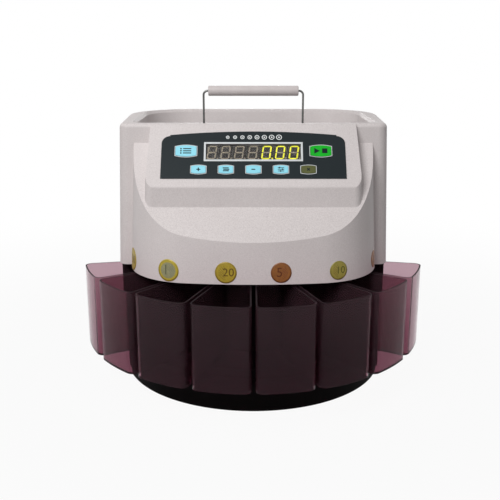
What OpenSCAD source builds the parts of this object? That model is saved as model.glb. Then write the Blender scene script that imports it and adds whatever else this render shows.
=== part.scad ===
// Coin counting machine: hopper tower, round drum with a control panel,
// and a fan of pull-out coin bins on a round base.
// Millimetres, +Z up, front towards -Y.
// Inside the modules the feed disc turns about x = 0, y = 0.

/* [Overall] */
// Height of the hopper rim above the table
rim_h = 265; // [262:1:272]
// Wall thickness of the housings
wall = 3; // [2.5:0.25:3.25]
// Draft of the tower's walls in degrees
draft_deg = 2.2; // [1.5:0.1:2.5]

/* [Base] */
// Radius of the round base
base_r = 138; // [136:0.5:140]
// Height of the base's outer wall
base_h = 29.5; // [27:0.5:32]
// Height of the bin deck above the base's outer wall
tier_h = 9.7; // [8:0.1:11]
// Distance of the base's centre behind the disc's axis
base_back = 5.2; // [4:0.2:6.4]
// Height of the rubber feet
foot_h = 3; // [2:0.5:4]
// Gap between the base's skirt and the table
skirt_gap = 0.8; // [0.5:0.1:1.5]

/* [Bins] */
// Outer radius of the fan of bins
ring_r = 177.5; // [174:0.5:182]
// Radius at the bins' inner ends
bin_inner_r = 84; // [82:0.5:88]
// Angle from bin to bin in degrees
bin_pitch = 19.5; // [18.8:0.1:19.6]
// Gap between two bins
bin_gap = 3.5; // [2.8:0.1:4.5]
// Height of a bin
bin_h = 81; // [76:0.5:84]
// Wall thickness of a bin
bin_wall = 1.5; // [1.3:0.1:2.2]
// Rounding of a bin's outer corners
bin_corner_r = 7; // [5:0.5:10]

/* [Drum] */
// Half the width of the drum at its bottom edge
drum_hw = 122.5; // [121:0.5:124]
// Distance of the drum's front from the disc's axis
drum_reach = 120.7; // [120:0.1:123]
// Radius of the drum's front arc
drum_arc_r = 440; // [400:10:500]
// Radius of the drum's corners
drum_corner_r = 66.5; // [64:0.5:69]
// Height of the drum's front wall
drum_h = 37.5; // [36:0.5:40]
// Draft of the drum's wall in degrees
drum_draft_deg = 3; // [2:0.1:3.2]
// How far the scooped ledge sinks below a straight slope
scoop_sag = 3; // [2:0.5:5]

/* [Tower] */
// Half the width of the tower's front at its bottom edge
tower_hw = 136.2; // [134:0.2:138]
// How far each side of the tower spreads from front to rear
tower_flare = 5.5; // [4:0.5:6.5]
// Distance of the tower's front face from the disc's axis
tower_front = 52; // [51:0.5:53]
// Distance of the tower's rear face from the disc's axis
tower_rear = 130; // [128:0.5:133]
// Distance of the scoop's upper edge below the rim
scoop_drop = 18.5; // [16:0.5:21]
// Rounding of the rim's outer edge
rim_edge_r = 4; // [3.5:0.25:5]
// Half the width of the hopper opening
hopper_hw = 118.5; // [116:0.5:119]
// Distance of the hopper opening's front edge from the disc's axis
hopper_front = 40; // [39:0.5:41]
// Distance of the hopper opening's rear edge from the disc's axis
hopper_rear = 116; // [112:0.5:117]

/* [Panel] */
// Half the width of the panel pod at the panel's lower edge
pod_hw = 102.2; // [100:0.2:103]
// Draft of the pod's sides in degrees
pod_draft_deg = 3.3; // [2:0.1:3.6]
// Distance of the pod's front face from the disc's axis
pod_reach = 93; // [92:0.5:94]
// Slope of the panel in degrees
panel_deg = 54.5; // [53:0.5:56]
// Width of the display frame
display_w = 94; // [92:0.5:96]
// Height of the display frame
display_h = 20.3; // [19.5:0.1:21]
// Width of a big key
big_key_w = 19.8; // [18:0.2:21]
// Height of a big key
big_key_h = 11.7; // [10.5:0.1:12.5]
// Width of a small key
small_key_w = 13.6; // [12:0.2:15]
// Height of a small key
small_key_h = 8.3; // [7.5:0.1:9.5]
// Travel of a key
key_travel = 0.7; // [0.4:0.1:1]

/* [Handle] */
// Distance between the handle's legs
handle_w = 96; // [86:1:110]
// Height of the grip's axis above the rim
handle_up = 30.8; // [24:0.2:34]
// Radius of the wire
wire_r = 1; // [0.9:0.1:1.5]
// Radius of the grip
grip_r = 4.8; // [4:0.1:5.5]

/* [Drive] */
// Radius of the feed disc
disc_r = 112; // [108:0.5:112.5]
// Number of coin pockets in the feed disc
pocket_count = 8; // [7:1:10]
// Radius of the spindle
spindle_r = 4; // [3.5:0.25:5]
// Gear module
gear_module = 2; // [1.8:0.1:2.1]
// Teeth of the drive gear
gear_teeth = 45; // [40:1:46]
// Teeth of the motor pinion
pinion_teeth = 15; // [14:1:17]
// Radius of the motor body
motor_r = 18.5; // [15:0.5:20]

/* [Hidden] */
$fn = 96;
bin_count = 8;
// coin diameters by bin, from left to right
coin_d = [25.75, 24.25, 23.25, 22.25, 21.25, 19.75, 18.75, 16.25];
slot_clear = 0.6;  // a slot is this much wider than its coin
over = 1;          // overlap used when cutting
block = 400;       // side of a block that cuts the whole model
slice = 0.2;       // thickness of the sections that a drafted shell is drawn through
seat_gap = 0.3;    // gap between pieces that can be taken apart
run_gap = 0.05;    // radial clearance of a running fit
press_gap = 0.02;  // radial clearance of a fixed fit
bin_clear = 3;     // bin rim to the housing above it
plate_t = 3;       // sort plate

// heights, from the table up
deck_z = base_h + tier_h;
bin_z = deck_z + seat_gap;
plate_z = bin_z + bin_h + bin_clear;
plate_top = plate_z + plate_t;
ledge_z = plate_z + drum_h;
scoop_top = rim_h - scoop_drop;
tier_r = base_r - 10;
tower_front_r = 10;
tower_rear_r = 68;
hopper_front_r = 14;
hopper_rear_r = 48;
hopper_edge = 3;   // chamfer round the hopper opening

ring_over = 20;    // how far the bin plan's sides run past its outer arc
ear_over = 2;      // how far a corner cut runs past the bin's side
// centre of a bin's corner rounding: along the bin's side and away from the line between two bins
bin_side = bin_gap / 2;
corner_off = bin_side + bin_corner_r;
corner_run = sqrt(pow(ring_r - bin_corner_r, 2) - pow(corner_off, 2));
// the disc's axis is set so that the whole part is centred on the origin
axis_y = (corner_run + bin_corner_r - base_back - base_r) / 2;

// drum plan: front arc and corners share tangents
drum_corner_x = drum_hw - drum_corner_r;
drum_corner_y = -drum_reach + drum_arc_r
    - sqrt(pow(drum_arc_r - drum_corner_r, 2) - pow(drum_corner_x, 2));
drum_tangent_x = drum_arc_r * drum_corner_x / (drum_arc_r - drum_corner_r);

// scooped ledge: an arc from the drum's front edge to the tower's face
scoop_run = drum_reach - tower_front;
scoop_rise = scoop_top - ledge_z;
scoop_chord = sqrt(pow(scoop_run, 2) + pow(scoop_rise, 2));
scoop_r = pow(scoop_chord, 2) / 8 / scoop_sag + scoop_sag / 2;
scoop_y = -(drum_reach + tower_front) / 2 - (scoop_r - scoop_sag) * scoop_rise / scoop_chord;
scoop_z = (ledge_z + scoop_top) / 2 + (scoop_r - scoop_sag) * scoop_run / scoop_chord;

// panel: its upper edge meets the rim just in front of the tower
panel_top_gap = 2;
panel_run = pod_reach - tower_front - panel_top_gap;
pod_low_z = rim_h - panel_run * tan(panel_deg);
panel_len = panel_run / cos(panel_deg);
pod_edge_r = 8;
panel_edge_r = 4;
overlay_t = 0.6;
overlay_hw = pod_hw - 14.7;
overlay_low = 8.5;
overlay_high = panel_len - 8.7;
overlay_arc_r = 830;
overlay_rise = 5;   // the film's middle stands above its corners
overlay_corner_r = 8;
display_v = 36.6;
display_border = 1.85;
frame_t = 0.5;
lens_t = 1.5;
lens_lip = 0.6;
key_proud = 0.9;
key_gap = 0.3;
key_flange_t = 1.2;
key_stem = 0.5;
key_stem_r = 2;
key_flange_w = 1;
key_arch = 1.85;   // radius of a key's arched edges for each mm of its width
key_row_v = 17.7;
key_row_pitch = 25.9;
big_key_x = 64;
big_key_v = 37.2;
bezel_w = 0.6;
bezel_t = 0.6;
switch_h = 3.5;
board_t = 1.6;
board_n = -(wall + seat_gap + key_flange_t + key_stem + key_travel + seat_gap + switch_h);
digit_count = 7;
digit_pitch = 13;
digit_gap = 0.3;

// funnel and fence
fence_r = disc_r + 2;
fence_t = 2.5;
fence_top = plate_top + 12;
sensor_w = 7;
sensor_h = 6;
funnel_t = 2;
funnel_bend = rim_h - 43;

// drive
disc_z = plate_top + 0.5;
disc_t = 5;
pocket_r = 13.5;
pocket_at = disc_r - pocket_r - 2;
gear_z = 70;
gear_t = 9;
gear_play = 0.1;   // cut off each side of a tooth
gear_r = gear_module * gear_teeth / 2;
pinion_r = gear_module * pinion_teeth / 2;
motor_y = gear_r + pinion_r;
motor_top = gear_z - 6;
bracket_t = 2.5;
motor_shaft_r = 2.5;
shaft_in = 4;      // length of the pinion's shaft inside the motor
bearing_r = 11;
bearing_w = 7;
bearing_lip = 2;   // step that a bearing rests on
bearing_low = plate_z - 27;
hub_r = 16;
hub_h = 7;
boss_r = 6;
plate_in_t = 3;
plate_bottom_top = foot_h + plate_in_t;
column_core_r = bin_inner_r - 8;
column_edge = bin_count / 2 * bin_pitch + 1;

// handle
handle_y = -(tower_front + hopper_front) / 2 - 0.5;
handle_bend = 4;
grip_hl = handle_w / 2 - handle_bend - 0.6;
clip_r = 3;
clip_t = 1.5;

// rear fittings
rear_z = 62;
inlet_x = -38;
inlet_w = 27;
inlet_h = 20;
rocker_x = 38;
rocker_body_w = 12.6;
rocker_body_h = 18.6;
rocker_tilt = 8;
snap_gap = 0.2;    // gap round a fitting in its window
vent_pitch = 12;
vent_w = 4;
vent_h = 26;
vent_z = rear_z + 20;

housing_colour = [0.82, 0.79, 0.79];
black_colour = [0.07, 0.07, 0.08];
bin_colour = [0.36, 0.2, 0.28, 0.6];
steel_colour = [0.72, 0.73, 0.75];
board_colour = [0.08, 0.32, 0.16];

// inset of a drafted wall at height z
function drawn_in(z, deg) = (z - plate_z) * tan(deg);

// half the distance between the sides of the tower's bottom edge at y
function side_hw(y) = tower_hw + tower_flare
    * min(1, (y + tower_front - tower_front_r) / (tower_rear - tower_rear_r + tower_front - tower_front_r));

// turn of bin i, from left to right
function bin_turn(i) = (i - (bin_count + 1) / 2) * bin_pitch;

module place() {
    translate([0, axis_y, 0]) children();
}

// plan of a box with round front and rear corners
module rounded_plan(hw, front, rear, front_r, rear_r) {
    for (side = [-1, 1]) {
        translate([side * (hw - front_r), front + front_r]) circle(front_r);
        translate([side * (hw - rear_r), rear - rear_r]) circle(rear_r);
    }
    translate([-hw, front + front_r]) square([2 * hw, rear - rear_r - front - front_r]);
    translate([front_r - hw, front]) square([2 * (hw - front_r), front_r + over]);
    translate([rear_r - hw, rear - rear_r - over]) square([2 * (hw - rear_r), rear_r + over]);
}

module drum_plan(inset) {
    for (side = [-1, 1]) {
        translate([side * drum_corner_x, drum_corner_y]) circle(drum_corner_r - inset);
    }
    intersection() {
        translate([0, drum_arc_r - drum_reach]) circle(drum_arc_r - inset, $fn = 360);
        translate([-drum_tangent_x, -drum_reach - over])
            square([2 * drum_tangent_x, drum_reach + over + drum_corner_y]);
    }
    translate([inset - drum_hw, drum_corner_y]) square([2 * (drum_hw - inset), 30]);
}

// drafted solid of the drum, up to the rim
module drum_body(inset, low) {
    intersection() {
        hull() {
            for (z = [plate_z - drum_h / 4, rim_h + drum_h / 4]) {
                translate([0, 0, z]) linear_extrude(slice) drum_plan(inset + drawn_in(z, drum_draft_deg));
            }
        }
        translate([-block / 2, -block / 2, plate_z - low])
            cube([block, block / 2, rim_h - inset - plate_z + low]);
    }
}

module pod_body(inset) {
    slope_drop = inset / cos(panel_deg);
    front = -pod_reach + inset;
    front_z = pod_low_z + inset * tan(panel_deg) - slope_drop;
    top_z = rim_h - inset;
    top_y = -pod_reach + (top_z - pod_low_z + slope_drop) / tan(panel_deg);
    low_z = ledge_z - drum_h / 3;
    rear = -tower_front / 2;
    edge_r = panel_edge_r - inset;
    intersection() {
        translate([-block / 2, 0, 0]) rotate([90, 0, 90]) linear_extrude(block)
            offset(r = edge_r) offset(delta = -edge_r)
            polygon([[front, low_z], [front, front_z], [top_y, top_z], [rear, top_z], [rear, low_z]]);
        hull() {
            for (z = [low_z, rim_h]) {
                hw = pod_hw - inset - (z - pod_low_z) * tan(pod_draft_deg);
                translate([0, 0, z]) linear_extrude(slice)
                    rounded_plan(hw, front, rear, pod_edge_r - inset, over);
            }
        }
    }
}

// drum below its scooped ledge, with the panel pod on it
module front_volume(inset, low) {
    difference() {
        drum_body(inset, low);
        translate([-block / 2, scoop_y, scoop_z]) rotate([0, 90, 0]) cylinder(r = scoop_r + inset, h = block);
    }
    pod_body(inset);
}

// corner rounds of the tower's plan; the sides between them spread towards the rear
module tower_corners(side_in, front_in, corner_in) {
    front_r = tower_front_r - front_in;
    rear_r = tower_rear_r - corner_in;
    for (side = [-1, 1]) {
        translate([side * (tower_hw - side_in - front_r), front_in - tower_front + front_r]) circle(front_r);
        translate([side * (tower_hw + tower_flare - side_in - rear_r), tower_rear - side_in - rear_r])
            circle(rear_r);
    }
}

// drafted solid of the tower, with its upper edge rounded
module tower_body(inset, low) {
    edge_r = rim_edge_r - inset;
    low_z = plate_z - drum_h / 4;
    intersection() {
        hull() {
            translate([0, 0, low_z]) linear_extrude(slice)
                tower_corners(inset + drawn_in(low_z, draft_deg), inset, inset);
            for (turn = [0:22.5:90]) {
                z = rim_h - inset - slice - edge_r * (1 - sin(turn));
                round_in = inset + edge_r * (1 - cos(turn));
                translate([0, 0, z]) linear_extrude(slice)
                    tower_corners(round_in + drawn_in(z, draft_deg), round_in, round_in);
            }
        }
        translate([-block / 2, -block / 2, plate_z - low]) cube([block, block, rim_h - plate_z + low]);
    }
}

module hopper_plan(grow) {
    rounded_plan(hopper_hw + grow, -hopper_front - grow, hopper_rear + grow, hopper_front_r + grow,
        hopper_rear_r + grow);
}

module on_panel() {
    translate([0, -pod_reach, pod_low_z]) rotate([panel_deg, 0, 0]) children();
}

// outline of a key: straight sides, arched top and bottom
module key_plan(w, h, grow) {
    arch_r = key_arch * w;
    intersection() {
        square([w + 2 * grow, h + 2 * grow + over], center = true);
        translate([0, h / 2 - arch_r]) circle(arch_r + grow);
        translate([0, arch_r - h / 2]) circle(arch_r + grow);
    }
}

module every_key(grow) {
    for (side = [-1, 1]) {
        translate([side * big_key_x, big_key_v]) key_plan(big_key_w, big_key_h, grow);
    }
    for (i = [-2:2]) {
        translate([i * key_row_pitch, key_row_v]) key_plan(small_key_w, small_key_h, grow);
    }
}

module display_plan(grow) {
    translate([0, display_v])
        square([display_w - 2 * display_border + 2 * grow, display_h - 2 * display_border + 2 * grow],
            center = true);
}

// a key cap with a flange that keeps it in and a stem over its switch
module key_cap(x, v, w, h) {
    flange_top = -wall - seat_gap;
    on_panel() translate([x, v, 0]) {
        translate([0, 0, flange_top]) linear_extrude(overlay_t + key_proud - flange_top) key_plan(w, h, 0);
        translate([-w / 2 - key_flange_w, -h / 2 - key_flange_w, flange_top - key_flange_t])
            cube([w + 2 * key_flange_w, h + 2 * key_flange_w, key_flange_t]);
        translate([0, 0, flange_top - key_flange_t - key_stem]) cylinder(r = key_stem_r, h = key_stem + slice);
    }
}

module tower_housing() {
    color(housing_colour) place() difference() {
        union() {
            tower_body(0, 0);
            // the pod's flat top runs on to the rim
            intersection() {
                pod_body(0);
                translate([-block / 2, -tower_front, 0]) cube([block, block / 2, block]);
            }
        }
        tower_body(wall, over);
        front_volume(wall, over);
        translate([0, 0, rim_h - 2 * wall]) linear_extrude(3 * wall) hopper_plan(0);
        hull() {
            translate([0, 0, rim_h - hopper_edge]) linear_extrude(slice) hopper_plan(0);
            translate([0, 0, rim_h]) linear_extrude(slice) hopper_plan(hopper_edge);
        }
        for (side = [-1, 1]) {
            translate([side * handle_w / 2, handle_y, rim_h - 2 * wall])
                cylinder(r = wire_r + run_gap, h = 3 * wall);
        }
    }
}

module front_cover() {
    color(housing_colour) place() difference() {
        front_volume(0, 0);
        front_volume(wall, over);
        translate([-block / 2, -tower_front, 0]) cube([block, block / 2, block]);
        on_panel() translate([0, 0, -3 * wall]) linear_extrude(4 * wall) {
            every_key(key_gap);
            display_plan(lens_lip);
        }
    }
}

// straight upper part of the hopper
module hopper_collar() {
    color(housing_colour) place() translate([0, 0, funnel_bend])
        linear_extrude(rim_h - wall - funnel_bend) difference() {
            hopper_plan(funnel_t);
            hopper_plan(0);
        }
}

// lower part of the hopper, from the collar to the round fence
module hopper_funnel() {
    mouth_r = fence_r + fence_t;
    color(housing_colour) place() difference() {
        hull() {
            translate([0, 0, fence_top]) cylinder(r = mouth_r, h = slice);
            translate([0, 0, funnel_bend - slice]) linear_extrude(slice) hopper_plan(funnel_t);
        }
        hull() {
            translate([0, 0, fence_top - slice]) cylinder(r = mouth_r - funnel_t - over, h = slice);
            translate([0, 0, funnel_bend]) linear_extrude(slice) hopper_plan(0);
        }
    }
}

// plan of the column behind the bins: a round core and a wide rear part
module column_plan(inset) {
    circle(column_core_r - inset);
    difference() {
        hull() tower_corners(inset, 0, inset);
        translate([0, inset / sin(column_edge)])
            polygon([[0, 0], [block * sin(column_edge), -block * cos(column_edge)], [block, -block],
                [-block, -block], [-block * sin(column_edge), -block * cos(column_edge)]]);
    }
}

// places of the screws that hold the sort plate
plate_screw_at = [[-122, 6], [122, 6], [-122, 60], [122, 60]];
// places of the screws that hold the base plate
base_screw_at = [[-104, -52], [104, -52], [-122, 36], [122, 36]];
post_r = 5;
plate_post_h = 30;
post_web_t = 3;
screw_r = 1.5;
screw_head_r = 3;
screw_len = 12;
plate_head_h = 2;
base_head_h = 1.5;

// web from a screw post to the side wall
module post_web(p, low, h) {
    run = side_hw(p[1]) - wall / 2 - abs(p[0]);
    translate([p[0] > 0 ? p[0] : p[0] - run, p[1] - post_web_t / 2, low]) cube([run, post_web_t, h]);
}

module lower_housing() {
    pedestal_h = base_h - skirt_gap;
    edge_r = 5;
    color(black_colour) place() difference() {
        union() {
            difference() {
                union() {
                    translate([0, base_back, skirt_gap]) rotate_extrude() {
                        square([base_r - edge_r, pedestal_h]);
                        square([base_r, pedestal_h - edge_r]);
                        translate([base_r - edge_r, pedestal_h - edge_r]) intersection() {
                            circle(edge_r);
                            square(edge_r);
                        }
                    }
                    translate([0, base_back, base_h - over]) cylinder(r = tier_r, h = tier_h + over);
                    translate([0, 0, skirt_gap]) linear_extrude(plate_z - skirt_gap) column_plan(0);
                    guide_ribs();
                }
                translate([0, base_back, skirt_gap - over])
                    cylinder(r = base_r - wall, h = pedestal_h - wall + over);
                translate([0, base_back, base_h - 2 * wall])
                    cylinder(r = tier_r - wall, h = tier_h + wall);
                translate([0, 0, skirt_gap - over]) linear_extrude(plate_z + over) column_plan(wall);
                rear_cuts();
            }
            for (p = plate_screw_at) {
                translate([p[0], p[1], plate_z - plate_post_h]) cylinder(r = post_r, h = plate_post_h);
                post_web(p, plate_z - plate_post_h, plate_post_h - over);
            }
            for (p = base_screw_at) {
                translate([p[0], p[1], plate_bottom_top])
                    cylinder(r = post_r, h = deck_z - wall - plate_bottom_top + over);
            }
            for (p = [base_screw_at[2], base_screw_at[3]]) {
                post_web(p, plate_bottom_top, deck_z - wall - plate_bottom_top);
            }
        }
        for (p = plate_screw_at) {
            translate([p[0], p[1], plate_z - screw_len - over])
                cylinder(r = screw_r + run_gap, h = screw_len + 2 * over);
        }
        for (p = base_screw_at) {
            translate([p[0], p[1], foot_h]) cylinder(r = screw_r + run_gap, h = screw_len + 2 * over);
        }
    }
}

// low radial ribs that keep the bins apart
module guide_ribs() {
    rib_t = bin_gap - 2.3;
    rib_h = 5;
    rib_r = tier_r - base_back - 4;
    for (i = [1:bin_count - 1]) {
        rotate([0, 0, bin_turn(i) + bin_pitch / 2]) translate([-rib_t / 2, -rib_r, deck_z - over])
            cube([rib_t, rib_r - column_core_r, rib_h + over]);
    }
}

// window in the rear wall for a fitting of the given body
module rear_window(x, w, h, deep) {
    translate([x - w / 2 - snap_gap, tower_rear - deep / 2, rear_z - h / 2 - snap_gap])
        cube([w + 2 * snap_gap, deep, h + 2 * snap_gap]);
}

module rear_cuts() {
    deep = 4 * wall;
    for (i = [-4:4]) {
        translate([i * vent_pitch - vent_w / 2, tower_rear - deep / 2, vent_z]) cube([vent_w, deep, vent_h]);
    }
    rear_window(inlet_x, inlet_w, inlet_h, deep);
    rear_window(rocker_x, rocker_body_w, rocker_body_h, deep);
}

module base_plate() {
    color(black_colour) place() difference() {
        translate([0, 0, foot_h]) linear_extrude(plate_in_t) {
            translate([0, base_back]) circle(base_r - wall - seat_gap);
            column_plan(wall + seat_gap);
        }
        for (p = base_screw_at) {
            translate([p[0], p[1], foot_h - over])
                cylinder(r = screw_r + run_gap, h = plate_in_t + 2 * over);
        }
    }
}

module rubber_feet() {
    foot_r = 9;
    foot_at = base_r - 26;
    color([0.1, 0.1, 0.1]) place() translate([0, base_back, 0]) {
        for (i = [0:3]) {
            rotate([0, 0, 45 + 90 * i]) translate([foot_at, 0, 0]) cylinder(r = foot_r, h = foot_h);
        }
    }
}

module screw(head_h, length) {
    cylinder(r = screw_head_r, h = head_h);
    translate([0, 0, -length]) cylinder(r = screw_r, h = length + head_h / 2);
}

module base_screws() {
    color(steel_colour) place() for (p = base_screw_at) {
        translate([p[0], p[1], foot_h]) mirror([0, 0, 1]) screw(base_head_h, screw_len);
    }
}

module plate_screws() {
    color(steel_colour) place() for (p = plate_screw_at) {
        translate([p[0], p[1], plate_top]) screw(plate_head_h, screw_len);
    }
}

// what is cut off an outer corner of the bin plan to round it
module bin_ear(side, inset) {
    half = bin_pitch / 2;
    round_x = corner_run * sin(half) - corner_off * cos(half);
    round_y = -corner_run * cos(half) - corner_off * sin(half);
    far = 1.02 * ring_r / (ring_r - bin_corner_r);
    out = [(corner_off + ear_over) * cos(half), (corner_off + ear_over) * sin(half)];
    difference() {
        polygon([for (p = [[1, 0], [1, 1], [far, 1], [far, 0]])
            [side * (p[0] * round_x + p[1] * out[0]), p[0] * round_y + p[1] * out[1]]]);
        translate([side * round_x, round_y]) circle(bin_corner_r - inset);
    }
}

// plan of a bin that points to the front; the walls are inset from the outside
module bin_plan(inset) {
    half = bin_pitch / 2;
    off = bin_side + inset;
    near_run = (bin_inner_r + inset - off * sin(half)) / cos(half);
    far_run = ring_r + ring_over;
    difference() {
        intersection() {
            circle(ring_r - inset);
            polygon([for (p = [[-1, near_run], [1, near_run], [1, far_run], [-1, far_run]])
                [p[0] * (p[1] * sin(half) - off * cos(half)), -p[1] * cos(half) - off * sin(half)]]);
        }
        bin_ear(1, inset);
        bin_ear(-1, inset);
    }
}

module coin_bin(i) {
    color(bin_colour) place() rotate([0, 0, bin_turn(i)]) difference() {
        translate([0, 0, bin_z]) linear_extrude(bin_h) bin_plan(0);
        translate([0, 0, bin_z + bin_wall]) linear_extrude(bin_h) bin_plan(bin_wall);
    }
}

module panel_overlay() {
    side_high = overlay_high - overlay_rise;
    color([0.1, 0.12, 0.13]) place() on_panel() linear_extrude(overlay_t) difference() {
        intersection() {
            union() {
                translate([-overlay_hw, overlay_low])
                    square([2 * overlay_hw, side_high - overlay_corner_r - overlay_low]);
                translate([overlay_corner_r - overlay_hw, overlay_low])
                    square([2 * (overlay_hw - overlay_corner_r), overlay_high]);
                for (side = [-1, 1]) {
                    translate([side * (overlay_hw - overlay_corner_r), side_high - overlay_corner_r])
                        circle(overlay_corner_r);
                }
            }
            translate([0, overlay_high - overlay_arc_r]) circle(overlay_arc_r, $fn = 360);
        }
        every_key(key_gap);
        display_plan(lens_lip);
    }
}

module display_frame() {
    color([0.85, 0.86, 0.86]) place() on_panel() translate([0, 0, overlay_t])
        linear_extrude(frame_t) difference() {
            translate([0, display_v]) square([display_w, display_h], center = true);
            display_plan(0);
        }
}

module display_lens() {
    color([0.05, 0.05, 0.06, 0.5]) place() on_panel() translate([0, 0, overlay_t - lens_t])
        linear_extrude(lens_t) display_plan(lens_lip - snap_gap);
}

module led_digits() {
    top_n = overlay_t - lens_t - snap_gap;
    digit_h = display_h - 2 * (display_border + seat_gap);
    color([0.12, 0.12, 0.1]) place() on_panel() for (i = [0:digit_count - 1]) {
        translate([(i - (digit_count - 1) / 2) * digit_pitch - (digit_pitch - digit_gap) / 2,
            display_v - digit_h / 2, board_n])
            cube([digit_pitch - digit_gap, digit_h, top_n - board_n]);
    }
}

module key_bezels() {
    color(steel_colour) place() on_panel() translate([0, 0, overlay_t]) linear_extrude(bezel_t) difference() {
        every_key(key_gap + bezel_w);
        every_key(key_gap);
    }
}

module key_switches() {
    size = [6, 6, switch_h];
    color([0.15, 0.15, 0.16]) place() on_panel() translate([0, 0, board_n]) {
        for (side = [-1, 1]) {
            translate([side * big_key_x, big_key_v, switch_h / 2]) cube(size, center = true);
        }
        for (i = [-2:2]) {
            translate([i * key_row_pitch, key_row_v, switch_h / 2]) cube(size, center = true);
        }
    }
}

board_hw = 90;
board_low = 8;
board_high = 51;
board_post_at = [[-85.5, 13], [85.5, 13], [-85.5, 46], [85.5, 46]];
board_post_r = 3;

module display_board() {
    color(board_colour) place() on_panel() translate([-board_hw, board_low, board_n - board_t])
        cube([2 * board_hw, board_high - board_low, board_t]);
}

module board_posts() {
    color(housing_colour) place() on_panel() for (p = board_post_at) {
        translate([p[0], p[1], board_n]) cylinder(r = board_post_r, h = -wall - board_n);
    }
}

// round stickers on the drum, each bent to the wall
module coin_labels() {
    label_t = 0.4;
    label_share = 0.915;
    label_z = plate_z + 11.3;
    cut = 12;
    // turns from left to right, about the corner's centre or the front arc's; the bins 2 to 7 have one each
    turns = [-71, -21.2, -3.35, 3.35, 21.2, 71];
    corner_from = 10;
    color([0.75, 0.6, 0.3]) place() intersection() {
        difference() {
            drum_body(-label_t, 0);
            drum_body(0, over);
        }
        for (i = [0:len(turns) - 1]) {
            corner = abs(turns[i]) > corner_from;
            centre = corner ? [sign(turns[i]) * drum_corner_x, drum_corner_y] : [0, drum_arc_r - drum_reach];
            translate([centre[0], centre[1], label_z]) rotate([90, 0, turns[i]])
                translate([0, 0, (corner ? drum_corner_r : drum_arc_r) - cut / 2])
                cylinder(d = label_share * coin_d[i + 1], h = cut);
        }
    }
}

module handle_wire() {
    foot_z = rim_h - wall - seat_gap - clip_t - 2;
    grip_z = rim_h + handle_up;
    bend_x = handle_w / 2 - handle_bend;
    color([0.3, 0.3, 0.31]) place() translate([0, handle_y, 0]) {
        for (side = [-1, 1]) {
            translate([side * handle_w / 2, 0, foot_z])
                cylinder(r = wire_r, h = grip_z - handle_bend - foot_z);
            translate([side * bend_x, 0, grip_z - handle_bend]) rotate([90, 0, 0])
                rotate([0, 0, side > 0 ? 0 : 90]) rotate_extrude(angle = 90)
                translate([handle_bend, 0]) circle(wire_r);
        }
        translate([-bend_x, 0, grip_z]) rotate([0, 90, 0]) cylinder(r = wire_r, h = 2 * bend_x);
    }
}

module handle_grip() {
    color([0.86, 0.84, 0.82]) place() translate([0, handle_y, rim_h + handle_up])
        rotate([0, 90, 0]) difference() {
            cylinder(r = grip_r, h = 2 * grip_hl, center = true);
            cylinder(r = wire_r + press_gap, h = handle_w, center = true);
        }
}

module handle_clips() {
    color(steel_colour) place() for (side = [-1, 1]) {
        translate([side * handle_w / 2, handle_y, rim_h - wall - seat_gap - clip_t]) difference() {
            cylinder(r = clip_r, h = clip_t);
            translate([0, 0, -over]) cylinder(r = wire_r + press_gap, h = clip_t + 2 * over);
        }
    }
}

module sort_plate() {
    inset = wall + seat_gap;
    // hole for the wires from the panel
    cable_slot = [60, 10];
    cable_in = 12;
    color(steel_colour) place() translate([0, 0, plate_z]) linear_extrude(plate_t) difference() {
        union() {
            intersection() {
                drum_plan(inset);
                translate([-block / 2, -block / 2]) square([block, block / 2 - tower_front + wall + over]);
            }
            hull() tower_corners(inset, inset, inset);
        }
        circle(bearing_r - bearing_lip);
        for (i = [1:bin_count]) {
            slot_w = coin_d[i - 1] + slot_clear;
            rotate([0, 0, bin_turn(i)]) translate([-slot_w / 2, -disc_r]) square([slot_w, slot_w]);
        }
        for (p = plate_screw_at) {
            translate(p) circle(screw_r + run_gap);
        }
        translate([0, tower_rear - cable_in]) square(cable_slot, center = true);
    }
}

module fence_ring(grow) {
    difference() {
        circle(fence_r + fence_t + grow);
        circle(fence_r - grow);
    }
}

module sensor_cuts(grow) {
    for (i = [1:bin_count]) {
        rotate([0, 0, bin_turn(i)]) translate([-sensor_w / 2 - grow, -fence_r - fence_t - over])
            square([sensor_w + 2 * grow, 2 * fence_t + over]);
    }
}

module coin_fence() {
    color([0.2, 0.2, 0.21]) place() translate([0, 0, plate_top]) difference() {
        linear_extrude(fence_top - plate_top) fence_ring(0);
        translate([0, 0, -over]) linear_extrude(sensor_h + seat_gap + over) sensor_cuts(seat_gap);
    }
}

module coin_sensors() {
    color([0.1, 0.1, 0.12]) place() translate([0, 0, plate_top]) linear_extrude(sensor_h) intersection() {
        fence_ring(-snap_gap);
        sensor_cuts(0);
    }
}

module feed_disc() {
    color([0.55, 0.56, 0.58]) place() difference() {
        union() {
            translate([0, 0, disc_z]) cylinder(r = disc_r, h = disc_t);
            translate([0, 0, disc_z]) cylinder(r = hub_r, h = disc_t + hub_h);
        }
        translate([0, 0, disc_z - over]) cylinder(r = spindle_r + press_gap, h = disc_t + hub_h + 2 * over);
        for (i = [0:pocket_count - 1]) {
            rotate([0, 0, i * 360 / pocket_count]) translate([pocket_at, 0, disc_z - over])
                cylinder(r = pocket_r, h = disc_t + 2 * over);
        }
    }
}

// cap with fins that stir the coins
module disc_cap() {
    cap_z = disc_z + disc_t + hub_h;
    cap_h = 14;
    cap_top_r = 6;
    fin = [24, 3, 6];
    fin_from = 4;
    color([0.25, 0.25, 0.26]) place() translate([0, 0, cap_z]) {
        cylinder(r1 = hub_r, r2 = cap_top_r, h = cap_h);
        for (i = [0:2]) {
            rotate([0, 0, 120 * i]) translate([fin_from, -fin[1] / 2, 0]) cube(fin);
        }
    }
}

module disc_spindle() {
    low_z = gear_z - 4;
    color(steel_colour) place() translate([0, 0, low_z])
        cylinder(r = spindle_r, h = disc_z + disc_t + hub_h - low_z);
}

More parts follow.
